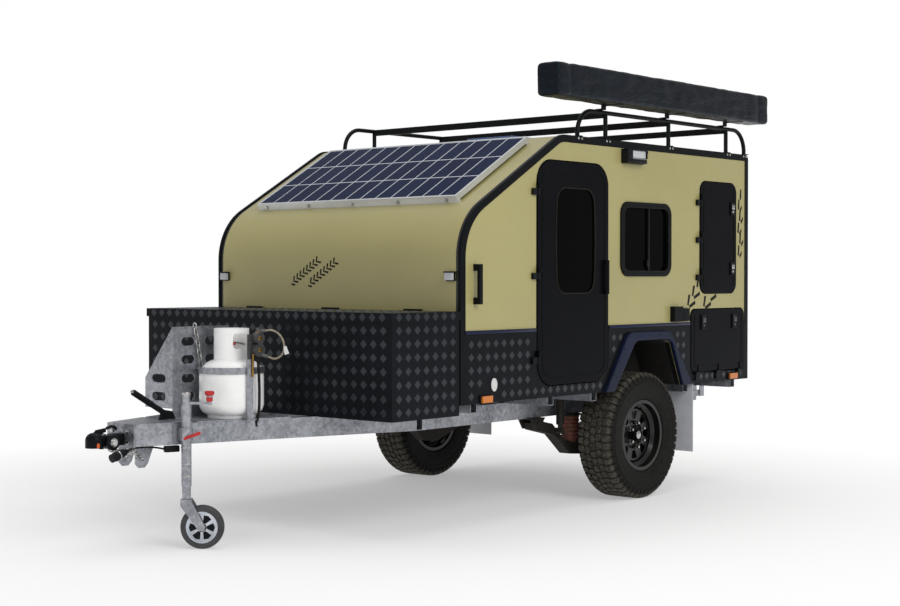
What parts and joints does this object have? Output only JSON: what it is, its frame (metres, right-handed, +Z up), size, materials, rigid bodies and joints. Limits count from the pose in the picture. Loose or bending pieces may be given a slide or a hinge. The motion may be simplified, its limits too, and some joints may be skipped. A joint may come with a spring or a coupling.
{
  "type": "teardrop trailer",
  "caption": "Off-road camping trailer: hollow box cabin with a sloped front on a braked drawbar chassis, with doors, hatches, roof rack, awning bag and jockey wheel.",
  "frame": {"origin": "centre of the tow ball in the coupling's socket, 0.5 m above the ground", "axes": "+Y towards the rear along the trailer, +X to the kerb side with the kitchen hatch, +Z up"},
  "size_m": [2.004, 4.441, 2.419],
  "materials": {
    "olive_skin": "satin gelcoat, light dust",
    "black_chequer": "black powder coat, lozenge pattern",
    "black_moulding": "fine grained black",
    "galvanised": "hot dip galvanised",
    "black_steel": "satin black paint, dusty",
    "anodised": "anodised",
    "solar_navy": "glass faced cells",
    "pane": "dark tinted acrylic",
    "dome_tint": "blue tinted acrylic",
    "bottle_white": "white enamel, scuffed",
    "brass": "dull cast brass",
    "hose_rubber": "matt rubber",
    "tyre_rubber": "dusty tread rubber",
    "bag_vinyl": "coated fabric",
    "amber_lens": "ribbed amber lens",
    "red_lens": "ribbed red lens",
    "white_lens": "clear lens in a black case",
    "spring_red": "dusty red enamel",
    "flap_grey": "light grey rubber",
    "black_plastic": "moulded black"
  },
  "bodies": {
    "chassis": {"side_wall_left": "olive_skin", "side_wall_right": "olive_skin", "front_panel": "olive_skin", "rear_panel": "olive_skin", "roof_panel": "olive_skin", "floor_panel": "black_plastic", "wheel_boxes": "black_plastic", "wheel_flares": "black_moulding", "lower_cladding": "black_chequer", "edge_mouldings": "black_moulding", "window_frames": "black_moulding", "window_glass": "pane", "hinge_posts": "black_steel", "roof_hatch_frame": "black_plastic", "solar_frame": "anodised", "solar_cells": "solar_navy", "rack_rails": "black_steel", "rack_posts": "black_steel", "rack_bars": "black_steel", "awning_bag": "bag_vinyl", "awning_brackets": "black_steel", "toolbox": "black_chequer", "chassis_rails": "galvanised", "cross_members": "galvanised", "drawbar_rails": "galvanised", "drawbar_head": "galvanised", "coupling": "black_steel", "handbrake_lever": "black_plastic", "jockey_clamp": "black_steel", "gas_carrier": "galvanised", "gas_bottle": "bottle_white", "bottle_band": "galvanised", "gas_regulator": "anodised", "gas_hose": "hose_rubber", "suspension_brackets": "black_steel", "trailing_arms": "black_steel", "coil_springs": "spring_red", "mudflaps": "flap_grey", "white_lamps": "white_lens", "marker_lamps": "amber_lens", "tail_lamps": "red_lens", "side_fittings": "black_plastic"},
    "wheel_left": {"rim_left": "black_steel", "tyre_left": "tyre_rubber"},
    "wheel_right": {"rim_right": "black_steel", "tyre_right": "tyre_rubber"},
    "door_left": {"entry_door_left": "olive_skin", "door_glass_left": "pane"},
    "door_right": {"entry_door_right": "olive_skin", "door_glass_right": "pane"},
    "pantry_door": {"pantry_hatch": "olive_skin"},
    "kitchen_door": {"kitchen_hatch": "olive_skin"},
    "box_lid": {"toolbox_lid": "black_chequer"},
    "hatch_lid": {"roof_hatch_lid": "dome_tint"},
    "leg_left": {"stabiliser_left": "galvanised"},
    "leg_right": {"stabiliser_right": "galvanised"},
    "jockey_mast": {"jockey_tube": "galvanised"},
    "jockey_slide": {"jockey_inner_tube": "galvanised"},
    "jockey_castor": {"jockey_fork": "galvanised"},
    "jockey_roller": {"jockey_wheel": "hose_rubber"}
  },
  "joints": [
    {"name": "wheel_left_spin", "type": "hinge", "parent": "chassis", "child": "wheel_left", "pos_m": [0.8015, 3.207, -0.1335], "axis": [1, 0, 0], "continuous": true},
    {"name": "wheel_right_spin", "type": "hinge", "parent": "chassis", "child": "wheel_right", "pos_m": [-0.8015, 3.207, -0.1335], "axis": [1, 0, 0], "continuous": true},
    {"name": "entry_door_left_swing", "type": "hinge", "parent": "chassis", "child": "door_left", "pos_m": [0.928, 2.18025, 0.808], "axis": [0, 0, -1], "range_deg": [0, 110]},
    {"name": "entry_door_right_swing", "type": "hinge", "parent": "chassis", "child": "door_right", "pos_m": [-0.928, 2.18025, 0.808], "axis": [0, 0, 1], "range_deg": [0, 110]},
    {"name": "pantry_hatch_swing", "type": "hinge", "parent": "chassis", "child": "pantry_door", "pos_m": [0.928, 3.80125, 1.027], "axis": [0, 0, -1], "range_deg": [0, 110]},
    {"name": "kitchen_hatch_drop", "type": "hinge", "parent": "chassis", "child": "kitchen_door", "pos_m": [0.928, 4.01, 0.20425], "axis": [0, 1, 0], "range_deg": [0, 90]},
    {"name": "toolbox_lid_lift", "type": "hinge", "parent": "chassis", "child": "box_lid", "pos_m": [0, 1.546, 0.617], "axis": [-1, 0, 0], "range_deg": [0, 70]},
    {"name": "roof_hatch_lift", "type": "hinge", "parent": "chassis", "child": "hatch_lid", "pos_m": [0, 2.84, 1.586], "axis": [1, 0, 0], "range_deg": [0, 50]},
    {"name": "stabiliser_left_drop", "type": "hinge", "parent": "chassis", "child": "leg_left", "pos_m": [0.625, 4.25, 0.045], "axis": [1, 0, 0], "range_deg": [0, 88]},
    {"name": "stabiliser_right_drop", "type": "hinge", "parent": "chassis", "child": "leg_right", "pos_m": [-0.625, 4.25, 0.045], "axis": [1, 0, 0], "range_deg": [0, 88]},
    {"name": "jockey_swing", "type": "hinge", "parent": "chassis", "child": "jockey_mast", "pos_m": [0.173, 0.3812, 0.043], "axis": [-0.9497, 0.3133, 0], "range_deg": [-90, 0]},
    {"name": "jockey_extend", "type": "slide", "parent": "jockey_mast", "child": "jockey_slide", "axis": [0, 0, -1], "range_m": [-0.05, 0.15]},
    {"name": "jockey_turn", "type": "hinge", "parent": "jockey_slide", "child": "jockey_castor", "pos_m": [0.222, 0.365, -0.274], "axis": [0, 0, -1], "continuous": true},
    {"name": "jockey_roll", "type": "hinge", "parent": "jockey_castor", "child": "jockey_roller", "pos_m": [0.27924, 0.41423, -0.3965], "axis": [-0.6521, 0.7581, 0], "continuous": true}
  ]
}
